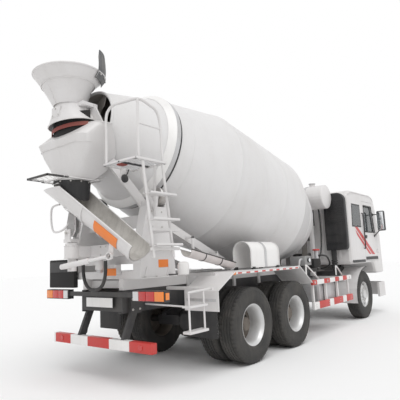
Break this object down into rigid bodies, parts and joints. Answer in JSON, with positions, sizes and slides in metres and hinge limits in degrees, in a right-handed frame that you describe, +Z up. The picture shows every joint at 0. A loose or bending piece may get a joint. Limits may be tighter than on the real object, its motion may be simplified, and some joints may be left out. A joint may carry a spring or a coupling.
{
  "type": "concrete mixer truck",
  "caption": "Cab-over truck with a tilted revolving drum, a charging hopper, a collecting funnel and a swinging discharge chute at the rear.",
  "frame": {"origin": "on the ground, under the middle of the truck", "axes": "+X forward, +Y to the left, +Z up"},
  "size_m": [9.2987, 3.04, 4.3],
  "materials": {
    "body_paint": "gloss off-white paint",
    "black_paint": "satin black paint",
    "wheel_rubber": "matt black rubber on silver rims",
    "rubber": "matt black rubber",
    "bare_steel": "dull steel",
    "black_plastic": "matt black",
    "glass": "clear",
    "seat_cloth": "woven cloth"
  },
  "bodies": {
    "chassis": {"battery_box": "black_paint", "bumper": "body_paint", "cab_air_duct": "black_plastic", "charging_hopper": "body_paint", "chassis_frame": "black_paint", "chute_bracket": "body_paint", "collecting_funnel": "body_paint", "drum_gearbox": "body_paint", "drum_tower": "body_paint", "engine_block": "bare_steel", "extension_chute": "body_paint", "front_axle": "black_paint", "fuel_tank": "bare_steel", "hydraulic_hose": "rubber", "ladder": "body_paint", "left_front_fender": "body_paint", "left_rear_fender": "body_paint", "left_side_guard": "body_paint", "left_tandem_spring": "black_paint", "lower_step": "body_paint", "middle_axle": "black_paint", "platform": "body_paint", "propeller_shaft": "bare_steel", "rear_axle": "black_paint", "right_front_fender": "body_paint", "right_rear_fender": "body_paint", "right_side_guard": "body_paint", "right_tandem_spring": "black_paint", "rubber_apron": "rubber", "subframe": "body_paint", "tail_lamp_bar": "black_paint", "underrun_bar": "black_paint", "water_tank": "body_paint"},
    "drum": {"drum": "body_paint", "drum_ring": "bare_steel"},
    "left_roller": {"left_roller": "bare_steel"},
    "right_roller": {"right_roller": "bare_steel"},
    "left_knuckle": {"left_knuckle": "bare_steel"},
    "right_knuckle": {"right_knuckle": "bare_steel"},
    "cab": {"cab_shell": "body_paint", "windscreen": "glass", "driver_seat": "seat_cloth", "passenger_seat": "seat_cloth", "dashboard": "black_plastic"},
    "left_door": {"left_door": "body_paint", "left_mirror": "black_plastic"},
    "right_door": {"right_door": "body_paint", "right_mirror": "black_plastic"},
    "chute_swivel": {"chute_swivel": "body_paint"},
    "chute": {"chute": "body_paint"},
    "chute_cylinder": {"chute_cylinder": "body_paint"},
    "chute_rod": {"chute_rod": "body_paint"},
    "front_left_wheel": {"front_left_wheel": "wheel_rubber"},
    "front_right_wheel": {"front_right_wheel": "wheel_rubber"},
    "middle_left_twin_wheel": {"middle_left_twin_wheel": "wheel_rubber"},
    "middle_right_twin_wheel": {"middle_right_twin_wheel": "wheel_rubber"},
    "rear_left_twin_wheel": {"rear_left_twin_wheel": "wheel_rubber"},
    "rear_right_twin_wheel": {"rear_right_twin_wheel": "wheel_rubber"}
  },
  "joints": [
    {"name": "drum_spin", "type": "hinge", "parent": "chassis", "child": "drum", "pos_m": [-3.04, 0, 3.177], "axis": [0.9781, 0, -0.2079], "continuous": true},
    {"name": "left_roller_spin", "type": "hinge", "parent": "chassis", "child": "left_roller", "pos_m": [-3.2081, 0.6317, 2.3862], "axis": [0.9781, 0, -0.2079], "continuous": true},
    {"name": "right_roller_spin", "type": "hinge", "parent": "chassis", "child": "right_roller", "pos_m": [-3.2081, -0.6317, 2.3862], "axis": [0.9781, 0, -0.2079], "continuous": true},
    {"name": "left_steering", "type": "hinge", "parent": "chassis", "child": "left_knuckle", "pos_m": [3.14, 0.8, 0.545], "axis": [0, 0, 1], "range_deg": [-38, 38]},
    {"name": "right_steering", "type": "hinge", "parent": "chassis", "child": "right_knuckle", "pos_m": [3.14, -0.8, 0.545], "axis": [0, 0, 1], "range_deg": [-38, 38]},
    {"name": "front_left_wheel_spin", "type": "hinge", "parent": "left_knuckle", "child": "front_left_wheel", "pos_m": [3.14, 1.02, 0.545], "axis": [0, 1, 0], "continuous": true},
    {"name": "front_right_wheel_spin", "type": "hinge", "parent": "right_knuckle", "child": "front_right_wheel", "pos_m": [3.14, -1.02, 0.545], "axis": [0, 1, 0], "continuous": true},
    {"name": "middle_left_wheel_spin", "type": "hinge", "parent": "chassis", "child": "middle_left_twin_wheel", "pos_m": [-0.55, 0.915, 0.545], "axis": [0, 1, 0], "continuous": true},
    {"name": "middle_right_wheel_spin", "type": "hinge", "parent": "chassis", "child": "middle_right_twin_wheel", "pos_m": [-0.55, -0.915, 0.545], "axis": [0, 1, 0], "continuous": true},
    {"name": "rear_left_wheel_spin", "type": "hinge", "parent": "chassis", "child": "rear_left_twin_wheel", "pos_m": [-1.9, 0.915, 0.545], "axis": [0, 1, 0], "continuous": true},
    {"name": "rear_right_wheel_spin", "type": "hinge", "parent": "chassis", "child": "rear_right_twin_wheel", "pos_m": [-1.9, -0.915, 0.545], "axis": [0, 1, 0], "continuous": true},
    {"name": "cab_tilt", "type": "hinge", "parent": "chassis", "child": "cab", "pos_m": [4.25, 0, 0.98], "axis": [0, 1, 0], "range_deg": [0, 50]},
    {"name": "right_door_hinge", "type": "hinge", "parent": "cab", "child": "right_door", "pos_m": [4.146, -1.2418, 2], "axis": [0, 0, 1], "range_deg": [0, 70]},
    {"name": "left_door_hinge", "type": "hinge", "parent": "cab", "child": "left_door", "pos_m": [4.146, 1.2418, 2], "axis": [0, 0, -1], "range_deg": [0, 70]},
    {"name": "chute_swing", "type": "hinge", "parent": "chassis", "child": "chute_swivel", "pos_m": [-4.15, 0, 1.68], "axis": [0, 0, 1], "range_deg": [-180, 0]},
    {"name": "chute_tilt", "type": "hinge", "parent": "chute_swivel", "child": "chute", "pos_m": [-4.15, 0, 1.92], "axis": [-0.9848, -0.1736, 0], "range_deg": [-10, 30]},
    {"name": "cylinder_pivot", "type": "hinge", "parent": "chute_swivel", "child": "chute_cylinder", "pos_m": [-4.30757, -0.02778, 1.5], "axis": [-0.9848, -0.1736, 0], "range_deg": [-10, 28]},
    {"name": "cylinder_stroke", "type": "slide", "parent": "chute_cylinder", "child": "chute_rod", "axis": [0.1721, -0.9759, 0.1339], "range_m": [-0.085, 0.225]}
  ],
  "couplings": [
    {"joint": "right_steering", "follows": "left_steering", "ratio": 1},
    {"joint": "cylinder_pivot", "follows": "chute_tilt", "ratio": 0.85726},
    {"joint": "cylinder_stroke", "follows": "chute_tilt", "m_per_rad": 0.39928}
  ]
}
